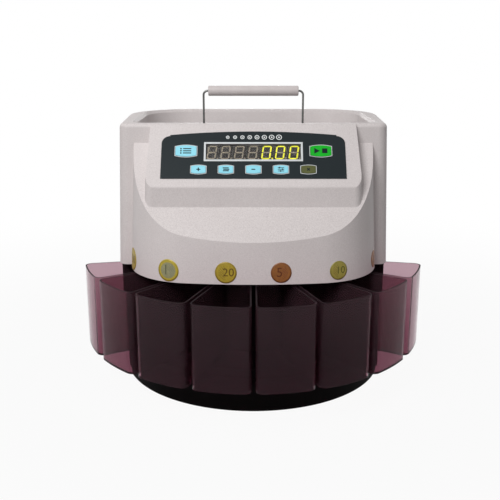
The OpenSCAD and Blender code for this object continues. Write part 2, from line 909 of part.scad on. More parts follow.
// corner points of an involute gear; thin is the cut on each side of a tooth
function involute_at(base_r, r) = tan(acos(base_r / r)) * 180 / PI - acos(base_r / r);

function gear_points(teeth, thin) =
    let (pitch_r = gear_module * teeth / 2, base = pitch_r * cos(20), root = pitch_r - 1.15 * gear_module,
        tip = pitch_r + 0.85 * gear_module, half = 90 / teeth - thin / pitch_r * 180 / PI,
        start = max(base + 0.01, root + 0.2), zero = half + involute_at(base, pitch_r))
    [for (t = [0:teeth - 1]) for (p = [[root, -1], [start, -1], [pitch_r, -1], [tip, -1],
        [tip, 1], [pitch_r, 1], [start, 1], [root, 1]])
        let (a = 360 / teeth * t + p[1] * (zero - involute_at(base, max(p[0], start))))
        [p[0] * cos(a), p[0] * sin(a)]];

module drive_gear() {
    gear_hub_r = 10;
    gear_hub_h = gear_t + 4;
    color([0.85, 0.83, 0.76]) place() translate([0, 0, gear_z]) {
        difference() {
            union() {
                rotate([0, 0, 90]) linear_extrude(gear_t) polygon(gear_points(gear_teeth, gear_play));
                cylinder(r = gear_hub_r, h = gear_hub_h);
            }
            translate([0, 0, -over]) cylinder(r = spindle_r + press_gap, h = gear_hub_h + 2 * over);
        }
    }
}

module motor_pinion() {
    color([0.8, 0.68, 0.4]) place() translate([0, motor_y, gear_z]) {
        rotate([0, 0, 270 - 180 / pinion_teeth]) linear_extrude(gear_t)
            polygon(gear_points(pinion_teeth, gear_play));
        translate([0, 0, motor_top - gear_z - shaft_in])
            cylinder(r = motor_shaft_r, h = gear_z - motor_top + shaft_in + over);
    }
}

module drive_motor() {
    motor_h = 46;
    end_cap_h = 3;
    end_cap_r = motor_r - 5;
    color([0.5, 0.51, 0.53]) place() translate([0, motor_y, motor_top - motor_h]) difference() {
        union() {
            cylinder(r = motor_r, h = motor_h);
            translate([0, 0, -end_cap_h]) cylinder(r = end_cap_r, h = end_cap_h + over);
            translate([0, 0, motor_h - over]) cylinder(r = boss_r, h = bracket_t + over);
        }
        translate([0, 0, motor_h - shaft_in - over])
            cylinder(r = motor_shaft_r + run_gap, h = shaft_in + bracket_t + 3 * over);
    }
}

module motor_bracket() {
    leg_x = motor_r + 3;
    depth = 2 * motor_r;
    flange_w = 16;
    color(steel_colour) place() translate([0, motor_y, 0]) difference() {
        union() {
            translate([-leg_x - bracket_t, -depth / 2, motor_top])
                cube([2 * (leg_x + bracket_t), depth, bracket_t]);
            for (side = [-1, 1]) {
                translate([side * (leg_x + bracket_t / 2) - bracket_t / 2, -depth / 2, plate_bottom_top])
                    cube([bracket_t, depth, motor_top - plate_bottom_top + over]);
                translate([side * (leg_x + flange_w / 2) - flange_w / 2, -depth / 2, plate_bottom_top])
                    cube([flange_w, depth, bracket_t]);
            }
        }
        translate([0, 0, motor_top - over]) cylinder(r = boss_r + run_gap, h = bracket_t + 2 * over);
    }
}

// flanged sleeve under the sort plate
module spindle_housing() {
    sleeve_t = 4;
    flange_r = 30;
    flange_t = 4;
    low_z = bearing_low - bearing_lip;
    color([0.6, 0.61, 0.63]) place() difference() {
        union() {
            translate([0, 0, low_z]) cylinder(r = bearing_r + sleeve_t, h = plate_z - low_z);
            translate([0, 0, plate_z - flange_t]) cylinder(r = flange_r, h = flange_t);
        }
        translate([0, 0, bearing_low]) cylinder(r = bearing_r + press_gap, h = plate_z - bearing_low + over);
        translate([0, 0, low_z - over]) cylinder(r = bearing_r - bearing_lip, h = plate_z - low_z + 2 * over);
    }
}

module spindle_bearings() {
    color(steel_colour) place() for (z = [bearing_low, plate_z - bearing_w]) {
        translate([0, 0, z]) difference() {
            cylinder(r = bearing_r, h = bearing_w);
            translate([0, 0, -over]) cylinder(r = spindle_r + run_gap, h = bearing_w + 2 * over);
        }
    }
}

main_board_at = [-108, -8];
main_board_size = [66, 84];
main_post_h = 8;
main_post_r = 3;
main_post_in = 5;

module main_board() {
    board_z = plate_bottom_top + main_post_h;
    // the chip and the row of relays stand in the board a little, so that they are one solid
    chip = [18, 18, 5];
    chip_at = [8, 10];
    relays = [12, 30, 7];
    relays_at = [36, 40];
    color(board_colour) place() translate([main_board_at[0], main_board_at[1], board_z]) {
        cube([main_board_size[0], main_board_size[1], board_t]);
        translate([chip_at[0], chip_at[1], board_t / 2]) cube(chip);
        translate([relays_at[0], relays_at[1], board_t / 2]) cube(relays);
    }
}

module main_posts() {
    color(black_colour) place() translate([main_board_at[0], main_board_at[1], plate_bottom_top]) {
        for (x = [main_post_in, main_board_size[0] - main_post_in]) {
            for (y = [main_post_in, main_board_size[1] - main_post_in]) {
                translate([x, y, 0]) cylinder(r = main_post_r, h = main_post_h);
            }
        }
    }
}

module transformer() {
    stands_at = [76, 40];
    core = [52, 44, 30];
    winding = [34, 56, 22];
    winding_up = 3;
    strap = [68, 20, 2];
    color([0.35, 0.34, 0.33]) place() translate([stands_at[0], stands_at[1], plate_bottom_top]) {
        translate([-core[0] / 2, -core[1] / 2, 0]) cube(core);
        translate([-winding[0] / 2, -winding[1] / 2, winding_up]) cube(winding);
        translate([-strap[0] / 2, -strap[1] / 2, 0]) cube(strap);
    }
}

// block w wide and h high round the origin, from y = low to y = high
module rear_block(w, h, low, high) {
    translate([-w / 2, low, -h / 2]) cube([w, high - low, h]);
}

socket_w = 24;
socket_h = 16;
socket_deep = 14;

module power_inlet() {
    rim_w = 2;
    rim_t = 2;
    body_deep = 18;
    color(black_colour) place() translate([inlet_x, tower_rear, rear_z]) difference() {
        union() {
            rear_block(inlet_w + 2 * rim_w, inlet_h + 2 * rim_w, 0, rim_t);
            rear_block(inlet_w, inlet_h, -body_deep, over);
        }
        rear_block(socket_w, socket_h, -socket_deep, rim_t + over);
    }
}

module inlet_pins() {
    pin_at = [[-7, -1.5], [0, 2.5], [7, -1.5]];
    pin_w = 2;
    pin_h = 4;
    pin_end = -2;
    color(steel_colour) place() translate([inlet_x, tower_rear, rear_z]) for (p = pin_at) {
        translate([p[0], 0, p[1]]) rear_block(pin_w, pin_h, -socket_deep, pin_end);
    }
}

rocker_pin_r = 1.2;
rocker_pin_in = 1;    // the pin's axis, from the rear face
rocker_pin_w = 11.4;
rocker_w = 9.8;

module switch_frame() {
    rim = [15, 22, 1.8];
    body_deep = 14;
    well = [10.6, 16.4, 12];
    pin_hole_w = 12;
    color(black_colour) place() translate([rocker_x, tower_rear, rear_z]) difference() {
        union() {
            rear_block(rim[0], rim[1], 0, rim[2]);
            rear_block(rocker_body_w, rocker_body_h, -body_deep, over);
        }
        rear_block(well[0], well[1], -well[2], rim[2] + over);
        translate([-pin_hole_w / 2, -rocker_pin_in, 0]) rotate([0, 90, 0])
            cylinder(r = rocker_pin_r + run_gap, h = pin_hole_w);
    }
}

module switch_rocker() {
    half_h = 6.5;
    back = 4;
    crest = 4.2;
    dip = 3.2;
    color([0.16, 0.16, 0.17]) place()
        translate([rocker_x, tower_rear - rocker_pin_in, rear_z]) rotate([-rocker_tilt, 0, 0]) {
            translate([-rocker_w / 2, 0, 0]) rotate([90, 0, 90]) linear_extrude(rocker_w)
                polygon([[-back, -half_h], [crest, -half_h], [dip, 0], [crest, half_h], [-back, half_h]]);
            translate([-rocker_pin_w / 2, 0, 0]) rotate([0, 90, 0])
                cylinder(r = rocker_pin_r, h = rocker_pin_w);
        }
}

blue_key = [0.5, 0.8, 0.88];

module key_report() {
    color(blue_key) place() key_cap(-big_key_x, big_key_v, big_key_w, big_key_h);
}

module key_start() {
    color([0.12, 0.7, 0.18]) place() key_cap(big_key_x, big_key_v, big_key_w, big_key_h);
}

module row_key(i, colour) {
    color(colour) place() key_cap(i * key_row_pitch, key_row_v, small_key_w, small_key_h);
}

tower_housing();
front_cover();
hopper_collar();
hopper_funnel();
lower_housing();
base_plate();
rubber_feet();
base_screws();
coin_bin(1);  // coin_bin_1
coin_bin(2);  // coin_bin_2
coin_bin(3);  // coin_bin_3
coin_bin(4);  // coin_bin_4
coin_bin(5);  // coin_bin_5
coin_bin(6);  // coin_bin_6
coin_bin(7);  // coin_bin_7
coin_bin(8);  // coin_bin_8
panel_overlay();
display_frame();
display_lens();
led_digits();
key_report();
key_start();
row_key(-2, blue_key);  // key_plus
row_key(-1, blue_key);  // key_batch
row_key(0, blue_key);  // key_minus
row_key(1, blue_key);  // key_set
row_key(2, [0.36, 0.37, 0.18]);  // key_clear
key_bezels();
key_switches();
display_board();
board_posts();
coin_labels();
handle_wire();
handle_grip();
handle_clips();
sort_plate();
plate_screws();
coin_fence();
coin_sensors();
feed_disc();
disc_cap();
disc_spindle();
drive_gear();
spindle_housing();
spindle_bearings();
drive_motor();
motor_bracket();
motor_pinion();
main_board();
main_posts();
transformer();
power_inlet();
inlet_pins();
switch_frame();
switch_rocker();
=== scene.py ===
import math

import bmesh
import bpy
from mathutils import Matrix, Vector


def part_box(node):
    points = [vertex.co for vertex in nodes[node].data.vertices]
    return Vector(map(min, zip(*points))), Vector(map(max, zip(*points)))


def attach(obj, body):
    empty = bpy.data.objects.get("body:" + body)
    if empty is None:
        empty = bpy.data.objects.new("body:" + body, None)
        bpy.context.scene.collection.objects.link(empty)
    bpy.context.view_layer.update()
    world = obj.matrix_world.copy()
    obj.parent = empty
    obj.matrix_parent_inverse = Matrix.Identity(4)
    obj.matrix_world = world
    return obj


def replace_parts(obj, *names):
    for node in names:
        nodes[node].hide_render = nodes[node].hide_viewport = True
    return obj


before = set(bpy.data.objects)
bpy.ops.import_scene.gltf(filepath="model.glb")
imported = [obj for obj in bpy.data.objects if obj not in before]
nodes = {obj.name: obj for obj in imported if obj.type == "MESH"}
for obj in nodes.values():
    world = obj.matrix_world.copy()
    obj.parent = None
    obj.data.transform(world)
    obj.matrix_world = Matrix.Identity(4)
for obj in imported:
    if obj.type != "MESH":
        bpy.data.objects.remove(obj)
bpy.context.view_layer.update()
mm = 0.001
discLow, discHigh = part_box("feed_disc")
axisY = (discLow.y + discHigh.y) / 2  # the feed disc's axis, which the housings are drawn about
print("frame loaded:", len(nodes), "CAD nodes")


# shader maths

middle = 0.5  # noise and tones vary about this


class Flow:
    # one socket of a shader; sums and products of it add Math nodes
    def __init__(self, tree, socket=None):
        self.tree = tree
        self.socket = socket

    def make(self, kind, settings=None, inputs=None, out=0):
        node = self.tree.nodes.new("ShaderNode" + kind)
        for name, value in (settings or {}).items():
            setattr(node, name, value)
        for name, value in (inputs or {}).items():
            if isinstance(value, Flow):
                self.tree.links.new(value.socket, node.inputs[name])
            else:
                node.inputs[name].default_value = value
        return Flow(self.tree, node.outputs[out] if node.outputs else None)

    def maths(self, operation, first, second):
        return self.make("Math", {"operation": operation}, {0: first, 1: second})

    def __add__(self, other):
        return self.maths("ADD", self, other)

    def __radd__(self, other):
        return self.maths("ADD", other, self)

    def __sub__(self, other):
        return self.maths("SUBTRACT", self, other)

    def __rsub__(self, other):
        return self.maths("SUBTRACT", other, self)

    def __mul__(self, other):
        return self.maths("MULTIPLY", self, other)

    def atMost(self, other):
        return self.maths("MINIMUM", self, other)

    def swing(self, size):  # noise about its middle, scaled
        return (self - middle) * size

    def step(self, low, high):  # 0 below low, 1 above high, smooth between
        return self.make("MapRange", {"interpolation_type": "SMOOTHSTEP"},
                         {"Value": self, "From Min": low, "From Max": high})

    def tint(self, first, second):  # first colour at 0, second at 1
        return self.make("Mix", {"data_type": "RGBA"}, {0: self, 6: first, 7: second}, out=2)


def colour(red, green, blue):  # screen values to linear light
    def linear(value):
        part = value / 255
        return part / 12.92 if part <= 0.04045 else ((part + 0.055) / 1.055) ** 2.4
    return (linear(red), linear(green), linear(blue), 1.0)


def newMaterial(name, build):
    material = bpy.data.materials.new(name)
    material.use_nodes = True
    material.node_tree.nodes.clear()
    flow = Flow(material.node_tree)
    flow.make("OutputMaterial", None, {"Surface": build(flow)})
    return material


def noise(flow, place, size, detail=2.0, rough=0.55):
    return flow.make("TexNoise", None,
                     {"Vector": place, "Scale": 1 / size, "Detail": detail, "Roughness": rough})


def bump(flow, height, strength, depth):
    return flow.make("Bump", None, {"Strength": strength, "Distance": depth * mm, "Height": height})


def facingUp(flow):  # 1 on level tops, 0 on upright walls
    return flow.make("SeparateXYZ", None, {0: flow.make("NewGeometry", out="True Normal")}, out="Z")


# finishes; lengths in mm

moulding = {"detail": 3.0, "depth": 0.1, "glossSwing": 0.18, "upFrom": 0.52, "upTo": 0.68}


def mouldedPlastic(name, look):
    # spark-eroded plastic: fine grain in the colour, the gloss and the relief
    # painted glints: where a look asks for them, its upward faces get a stronger colour speckle that stands
    # in for light glinting off the lit tops
    def build(flow):
        place = flow.make("TexCoord", out="Object")
        grain = noise(flow, place, look["grain"] * mm, moulding["detail"])
        cloud = noise(flow, place, look["cloud"] * mm)
        speckle = look["speckle"]
        if "upGlintSpeckle" in look:
            speckle = speckle + facingUp(flow).step(moulding["upFrom"], moulding["upTo"]) * look["upGlintSpeckle"]
        tone = middle + grain.swing(speckle) + cloud.swing(look["drift"])
        relief = bump(flow, grain, look["relief"], moulding["depth"])
        return flow.make("BsdfPrincipled", None, {
            "Base Color": tone.tint(look["dark"], look["light"]),
            "Roughness": look["rough"] + grain.swing(moulding["glossSwing"]),
            "Specular IOR Level": look["gloss"], "Normal": relief})
    return newMaterial(name, build)


clearing = {"detail": 4.0, "depth": 0.2, "wallShare": 0.8, "waveShare": 0.2, "scuffFrom": 0.45,
            "scuffTo": 0.75, "rimUpFrom": 0.5, "rimUpTo": 0.9, "rimHigh": 1.0, "rimRough": 0.55,
            "rimGloss": 0.06, "rimShare": 0.95}


def tintedClear(name, look):
    # clear coloured plastic; the colour is what one wall lets through, and lamps shine through it
    # the tint is darker and redder towards the bottom, a small milky share shows the plastic's own colour,
    # and the top rim is painted shade: a dark matt colour that stands in for the dark reflection on the rims
    def build(flow):
        place = flow.make("TexCoord", out="Object")
        height = flow.make("SeparateXYZ", None, {0: place}, out="Z")
        # the tint turns darker and redder towards the bottom
        deep = 1 - height.step(look["lowerTintBelow"] * mm, look["upperTintAbove"] * mm)
        wave = noise(flow, place, look["wave"] * mm)
        haze = noise(flow, place, look["haze"] * mm, clearing["detail"])
        scuffed = haze.step(clearing["scuffFrom"], clearing["scuffTo"])
        tone = deep * clearing["wallShare"] + wave * clearing["waveShare"]
        plastic = flow.make("BsdfPrincipled", None, {
            "Base Color": tone.tint(look["thin"], look["thick"]),
            "Roughness": look["rough"] + scuffed * look["scuff"],
            "IOR": look["ior"], "Transmission Weight": look["clear"],
            "Normal": bump(flow, wave, look["relief"], clearing["depth"])})
        # painted shade: the top rims get a dark matt maroon that stands in for the dark housing they reflect
        if "rimAt" in look:
            atTop = height.step((look["rimAt"] - clearing["rimHigh"]) * mm, look["rimAt"] * mm)
            rim = facingUp(flow).step(clearing["rimUpFrom"], clearing["rimUpTo"]) * atTop
            matt = flow.make("BsdfPrincipled", None, {
                "Base Color": haze.tint(look["rimShadeDark"], look["rimShadeLight"]),
                "Roughness": clearing["rimRough"], "Specular IOR Level": clearing["rimGloss"]})
            plastic = flow.make("MixShader", None, {0: rim * clearing["rimShare"], 1: plastic, 2: matt})
        oneFace = tuple(math.sqrt(part) for part in look["thick"])
        passing = flow.make("BsdfTransparent", None, {"Color": oneFace})
        shadowRay = flow.make("LightPath", out="Is Shadow Ray")
        return flow.make("MixShader", None, {0: shadowRay, 1: plastic, 2: passing})
    return newMaterial(name, build)


drawing = {"detail": 3.0, "lineRough": 0.7, "depth": 0.05, "lineTone": 0.6, "tarnishTone": 0.8,
           "glossSwing": 0.2}


def metal(name, look):
    # drawn or plated metal: fine lines along one axis, slight tarnish
    def build(flow):
        place = flow.make("TexCoord", out="Object")
        drawn = flow.make("Mapping", None, {"Vector": place, "Scale": look["lines"]})
        line = noise(flow, drawn, look["grain"] * mm, drawing["detail"], drawing["lineRough"])
        tarnish = noise(flow, place, look["cloud"] * mm, drawing["detail"])
        tone = middle + line.swing(drawing["lineTone"]) + tarnish.swing(drawing["tarnishTone"])
        return flow.make("BsdfPrincipled", None, {
            "Base Color": tone.tint(look["dark"], look["light"]), "Metallic": 1.0,
            "Roughness": look["rough"] + line.swing(drawing["glossSwing"]),
            "Normal": bump(flow, line, look["relief"], drawing["depth"])})
    return newMaterial(name, build)


def glowing(name, look):
    # a lit segment: its glow varies a little, with the resin's own colour under it
    def build(flow):
        place = flow.make("TexCoord", out="Object")
        grain = noise(flow, place, look["grain"] * mm)
        return flow.make("BsdfPrincipled", None, {
            "Base Color": grain.tint(look["dark"], look["light"]), "Roughness": look["rough"],
            "Emission Color": grain.tint(look["glowDark"], look["glow"]), "Emission Strength": look["power"]})
    return newMaterial(name, build)


# places and sizes are shares of a sticker's radius
coining = {"ribs": 2.6, "ribBend": 5.0, "detail": 4.0, "asideTo": 0.25, "ribFrom": 0.45, "ribTo": 0.75,
           "fieldFrom": 0.6, "fieldTo": 0.7, "ribStrength": 0.8, "fleck": 0.16, "fleckRough": 0.65,
           "swirl": 0.5, "fleckTone": 1.1, "swirlTone": 0.7, "ringTone": 0.8, "blur": 0.02, "lineFrom": 0.86,
           "lineTo": 0.95, "lineBlur": 0.03, "lineStrength": 0.55, "relief": 0.4, "depth": 0.1,
           "metallic": 0.15, "rough": 0.42, "glossSwing": 0.25}


def coinPrint(name, look):
    # printed coin: metal tones with a rim band, an inner field, worn high spots and slanting lines
    def build(flow):
        place = flow.make("UVMap", {"uv_map": "face"})
        out = flow.make("VectorMath", {"operation": "LENGTH"}, {0: place}, out="Value")
        across = flow.make("SeparateXYZ", None, {0: place}, out="X")
        ribs = flow.make("TexWave", {"bands_direction": "DIAGONAL"},
                         {"Vector": place, "Scale": coining["ribs"], "Distortion": coining["ribBend"],
                          "Detail": coining["detail"]}, out="Fac")
        beside = (across * look["lean"]).step(0.0, coining["asideTo"])
        inside = 1 - out.step(coining["fieldFrom"], coining["fieldTo"])
        cut = ribs.step(coining["ribFrom"], coining["ribTo"]) * beside * inside * coining["ribStrength"]
        fleck = noise(flow, place, coining["fleck"], coining["detail"], coining["fleckRough"])
        swirl = noise(flow, place, coining["swirl"])
        fieldTone = middle + fleck.swing(coining["fleckTone"]) + swirl.swing(coining["swirlTone"])
        field = fieldTone.tint(look["dark"], look["light"])
        band = (middle + fleck.swing(coining["ringTone"])).tint(look["ringDark"], look["ringLight"])
        edge = out.step(look["inner"] - coining["blur"], look["inner"] + coining["blur"])
        lineIn = out.step(coining["lineFrom"], coining["lineFrom"] + coining["lineBlur"])
        lineOut = out.step(coining["lineTo"] - coining["lineBlur"], coining["lineTo"])
        line = lineIn * (1 - lineOut) * coining["lineStrength"]
        face = cut.tint(edge.tint(field, band), look["mark"])
        return flow.make("BsdfPrincipled", None, {
            "Base Color": line.tint(face, look["ringDark"]), "Metallic": coining["metallic"],
            "Roughness": coining["rough"] + fleck.swing(coining["glossSwing"]),
            "Normal": bump(flow, fleck + line, coining["relief"], coining["depth"])})
    return newMaterial(name, build)


keyLook = {"grain": 0.5, "cloud": 9, "speckle": 0.6, "drift": 0.7, "rough": 0.38, "gloss": 0.25,
           "relief": 0.15}
finishes = {
    # painted glints: the housing's upward faces get extra colour speckle for the glint of light on them
    "housing": mouldedPlastic("paleHousing", {
        "dark": colour(198, 190, 189), "light": colour(222, 215, 214), "grain": 0.9, "cloud": 45,
        "speckle": 1.5, "upGlintSpeckle": 1.5, "drift": 0.4, "rough": 0.5, "gloss": 0.3, "relief": 0.35}),
    # painted light: the hopper parts are the housing's plastic made lighter, standing in for light that
    # reaches inside the hopper
    "funnel": mouldedPlastic("hopperLitPlastic", {
        "dark": colour(214, 206, 205), "light": colour(236, 229, 228), "grain": 0.8, "cloud": 30,
        "speckle": 1.4, "drift": 0.6, "rough": 0.5, "gloss": 0.3, "relief": 0.3}),
    "black": mouldedPlastic("blackBase", {
        "dark": colour(8, 8, 8), "light": colour(20, 19, 19), "grain": 0.8, "cloud": 25,
        "speckle": 1.0, "drift": 0.6, "rough": 0.6, "gloss": 0.02, "relief": 0.2}),
    # the bin's rim colours are painted shade for the dark reflection on its rims
    "bin": tintedClear("plumBin", {
        "thin": colour(186, 158, 167), "thick": colour(168, 128, 142), "upperTintAbove": 118, "lowerTintBelow": 42,
        "rimShadeDark": colour(24, 14, 18), "rimShadeLight": colour(36, 23, 28), "rimAt": 120,
        "wave": 22, "haze": 14, "relief": 0.04, "rough": 0.04, "scuff": 0.06, "ior": 1.15, "clear": 0.972}),
    "film": mouldedPlastic("panelFilm", {
        "dark": colour(28, 34, 37), "light": colour(42, 49, 52), "grain": 0.6, "cloud": 40,
        "speckle": 0.9, "drift": 0.4, "rough": 0.4, "gloss": 0.09, "relief": 0.15}),
    "lens": tintedClear("displayLens", {
        "thin": colour(236, 236, 238), "thick": colour(228, 228, 231), "upperTintAbove": 250, "lowerTintBelow": 230,
        "wave": 30, "haze": 20, "relief": 0.01, "rough": 0.01, "scuff": 0.02, "ior": 1.12, "clear": 1.0}),
    "block": mouldedPlastic("digitBlock", {
        "dark": colour(34, 32, 28), "light": colour(50, 47, 41), "grain": 0.6, "cloud": 8,
        "speckle": 0.6, "drift": 0.5, "rough": 0.55, "gloss": 0.3, "relief": 0.1}),
    "trim": mouldedPlastic("silverTrim", {
        "dark": colour(196, 200, 202), "light": colour(222, 225, 226), "grain": 0.4, "cloud": 12,
        "speckle": 0.6, "drift": 0.5, "rough": 0.35, "gloss": 0.5, "relief": 0.1}),
    "blueKey": mouldedPlastic("blueKey", dict(
        keyLook, dark=colour(132, 212, 232), light=colour(160, 230, 246))),
    "greenKey": mouldedPlastic("greenKey", dict(
        keyLook, dark=colour(14, 162, 32), light=colour(28, 190, 46), gloss=0.15)),
    "oliveKey": mouldedPlastic("oliveKey", dict(
        keyLook, dark=colour(74, 77, 38), light=colour(94, 97, 52))),
    "keyPrint": mouldedPlastic("keyPrint", {
        "dark": colour(12, 22, 28), "light": colour(22, 34, 40), "grain": 0.3, "cloud": 4,
        "speckle": 0.8, "drift": 0.5, "rough": 0.5, "gloss": 0.1, "relief": 0.05}),
    "whitePrint": mouldedPlastic("whitePrint", {
        "dark": colour(214, 218, 219), "light": colour(238, 240, 240), "grain": 0.3, "cloud": 5,
        "speckle": 0.7, "drift": 0.5, "rough": 0.5, "gloss": 0.3, "relief": 0.05}),
    "dimSegment": mouldedPlastic("dimSegment", {
        "dark": colour(112, 104, 88), "light": colour(134, 126, 108), "grain": 0.3, "cloud": 3,
        "speckle": 0.7, "drift": 0.5, "rough": 0.5, "gloss": 0.2, "relief": 0.05}),
    "litSegment": glowing("litSegment", {
        "dark": colour(150, 145, 20), "light": colour(170, 165, 30), "glowDark": colour(214, 214, 8),
        "glow": colour(236, 238, 30), "power": 0.75, "grain": 0.5, "rough": 0.5}),
    "wire": metal("platedWire", {
        "dark": colour(58, 58, 57), "light": colour(122, 122, 120), "lines": (1, 1, 0.08), "grain": 0.3,
        "cloud": 4, "relief": 0.3, "rough": 0.3}),
    "grip": mouldedPlastic("gripTube", {
        "dark": colour(190, 181, 180), "light": colour(212, 204, 203), "grain": 0.7, "cloud": 14,
        "speckle": 0.7, "drift": 0.8, "rough": 0.42, "gloss": 0.3, "relief": 0.2}),
    "steel": metal("brushedSteel", {
        "dark": colour(150, 152, 156), "light": colour(196, 198, 201), "lines": (1, 0.06, 1), "grain": 0.4,
        "cloud": 12, "relief": 0.2, "rough": 0.32}),
    "machined": metal("turnedAluminium", {
        "dark": colour(165, 167, 170), "light": colour(205, 207, 210), "lines": (1, 1, 0.1), "grain": 0.4,
        "cloud": 15, "relief": 0.2, "rough": 0.34}),
    "brass": metal("cutBrass", {
        "dark": colour(170, 132, 66), "light": colour(214, 178, 104), "lines": (1, 1, 0.1), "grain": 0.3,
        "cloud": 6, "relief": 0.2, "rough": 0.3}),
    "painted": metal("paintedIron", {
        "dark": colour(70, 70, 72), "light": colour(105, 105, 107), "lines": (1, 1, 1), "grain": 0.8,
        "cloud": 9, "relief": 0.3, "rough": 0.5}),
    "disc": mouldedPlastic("feedDisc", {
        "dark": colour(128, 130, 133), "light": colour(152, 154, 157), "grain": 0.9, "cloud": 18,
        "speckle": 0.8, "drift": 0.9, "rough": 0.4, "gloss": 0.45, "relief": 0.3}),
    "gear": mouldedPlastic("gearNylon", {
        "dark": colour(214, 209, 192), "light": colour(232, 228, 214), "grain": 0.8, "cloud": 12,
        "speckle": 0.6, "drift": 0.8, "rough": 0.45, "gloss": 0.4, "relief": 0.2}),
    "board": mouldedPlastic("solderMask", {
        "dark": colour(18, 70, 36), "light": colour(32, 98, 52), "grain": 1.2, "cloud": 6,
        "speckle": 0.7, "drift": 0.9, "rough": 0.35, "gloss": 0.5, "relief": 0.2}),
    "rubber": mouldedPlastic("footRubber", {
        "dark": colour(20, 20, 20), "light": colour(40, 40, 40), "grain": 0.7, "cloud": 6,
        "speckle": 1.0, "drift": 0.6, "rough": 0.75, "gloss": 0.2, "relief": 0.5}),
}
finishOf = {
    "housing": ["tower_housing", "front_cover", "board_posts"],
    "funnel": ["hopper_collar", "hopper_funnel"],
    "black": ["lower_housing", "base_plate", "main_posts", "power_inlet", "switch_frame", "switch_rocker",
              "coin_fence", "coin_sensors", "key_switches", "disc_cap"],
    "bin": ["coin_bin_%d" % i for i in range(1, 9)],
    "film": ["panel_overlay"],
    "lens": ["display_lens"],
    "block": ["led_digits"],
    "trim": ["display_frame", "key_bezels"],
    "blueKey": ["key_report", "key_plus", "key_batch", "key_minus", "key_set"],
    "greenKey": ["key_start"],
    "oliveKey": ["key_clear"],
    "wire": ["handle_wire"],
    "grip": ["handle_grip"],
    "steel": ["handle_clips", "base_screws", "plate_screws", "sort_plate", "inlet_pins", "motor_bracket",
              "disc_spindle", "spindle_bearings"],
    "machined": ["spindle_housing"],
    "brass": ["motor_pinion"],
    "painted": ["drive_motor", "transformer"],
    "disc": ["feed_disc"],
    "gear": ["drive_gear"],
    "board": ["display_board", "main_board"],
    "rubber": ["rubber_feet"],
}
for finish, members in finishOf.items():
    for member in members:
        nodes[member].material_slots[0].material = finishes[finish]
print("finishes on CAD nodes:", sum(len(members) for members in finishOf.values()))


# soft edges on the CAD nodes, widths in mm

softEdges = {
    "tower_housing": 0.8, "front_cover": 1.0, "lower_housing": 0.8, "handle_grip": 0.9, "feed_disc": 0.6,
    "disc_cap": 0.6, "rubber_feet": 0.6, "display_frame": 0.15, "key_bezels": 0.15, "power_inlet": 0.5,
    "switch_frame": 0.4, "switch_rocker": 0.4, "coin_fence": 0.4,
}
softening = {"bin": 0.25, "key": 0.45, "weld": 0.002, "segments": 3, "fromAngle": 32, "areaWeight": 60}
softEdges.update({name: softening["bin"] for name in finishOf["bin"]})
keyNodes = finishOf["blueKey"] + finishOf["greenKey"] + finishOf["oliveKey"]
softEdges.update({name: softening["key"] for name in keyNodes})


def soften(node, width):
    piece = nodes[node]
    weld = piece.modifiers.new("weld", "WELD")
    weld.merge_threshold = softening["weld"] * mm
    edge = piece.modifiers.new("edge", "BEVEL")
    edge.width = width * mm
    edge.segments = softening["segments"]
    edge.limit_method = "ANGLE"
    edge.angle_limit = math.radians(softening["fromAngle"])
    edge.miter_outer = "MITER_ARC"
    normals = piece.modifiers.new("normals", "WEIGHTED_NORMAL")
    normals.keep_sharp = False
    normals.weight = softening["areaWeight"]


for node, width in softEdges.items():
    soften(node, width)
print("soft edges:", len(softEdges))


# the sloping panel: x across, v up the slope from the film's lower edge, n outward, all in mm

panel = {"slope": 54.5, "film": 0.6, "displayAt": 28.1, "keyRowAt": 9.2, "keyPitch": 25.9,
         "bigKeyAt": (64.0, 28.7), "keyTop": 1.5, "titleAt": 43.7}
slope = math.radians(panel["slope"])
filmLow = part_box("panel_overlay")[0]
panelFoot = Vector((0, filmLow.y + panel["film"] * mm * math.sin(slope), filmLow.z))


def onPanel(x, v, n):
    return panelFoot + Vector((x, v * math.cos(slope) - n * math.sin(slope),
                               v * math.sin(slope) + n * math.cos(slope))) * mm


def addPiece(name, mesh, finish, body):
    piece = bpy.data.objects.new(name, mesh)
    bpy.context.scene.collection.objects.link(piece)
    mesh.materials.append(finishes[finish] if isinstance(finish, str) else finish)
    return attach(piece, body)


def plates(name, outlines, low, high, finish, body):
    # thin plates with the given outlines, standing on the panel from n = low to n = high
    form = bmesh.new()
    for outline in outlines:
        floor = [form.verts.new(onPanel(x, v, low)) for x, v in outline]
        top = [form.verts.new(onPanel(x, v, high)) for x, v in outline]
        form.faces.new(top)
        form.faces.new(floor[::-1])
        for i in range(len(outline)):
            j = (i + 1) % len(outline)
            form.faces.new((floor[i], floor[j], top[j], top[i]))
    bmesh.ops.recalc_face_normals(form, faces=form.faces)
    mesh = bpy.data.meshes.new(name)
    form.to_mesh(mesh)
    form.free()
    addPiece(name, mesh, finish, body)


def moved(outline, x, v):
    return [(x + px, v + pv) for px, pv in outline]


def bar(x0, v0, x1, v1, thick):
    # a straight stroke with square ends
    along = Vector((x1 - x0, v1 - v0)).normalized()
    side = Vector((-along.y, along.x)) * thick / 2
    return [(x0 - side.x, v0 - side.y), (x1 - side.x, v1 - side.y), (x1 + side.x, v1 + side.y),
            (x0 + side.x, v0 + side.y)]


def disc(radius, steps):
    return [(radius * math.cos(2 * math.pi * i / steps), radius * math.sin(2 * math.pi * i / steps))
            for i in range(steps)]


def ring(radius, thick, steps):
    # a ring as short bars that meet at their ends
    turns = [2 * math.pi * i / steps for i in range(steps + 1)]
    return [[(radius * math.cos(a), radius * math.sin(a)), (radius * math.cos(b), radius * math.sin(b)),
             ((radius - thick) * math.cos(b), (radius - thick) * math.sin(b)),
             ((radius - thick) * math.cos(a), (radius - thick) * math.sin(a))]
            for a, b in zip(turns, turns[1:])]


# seven-segment digits under the lens

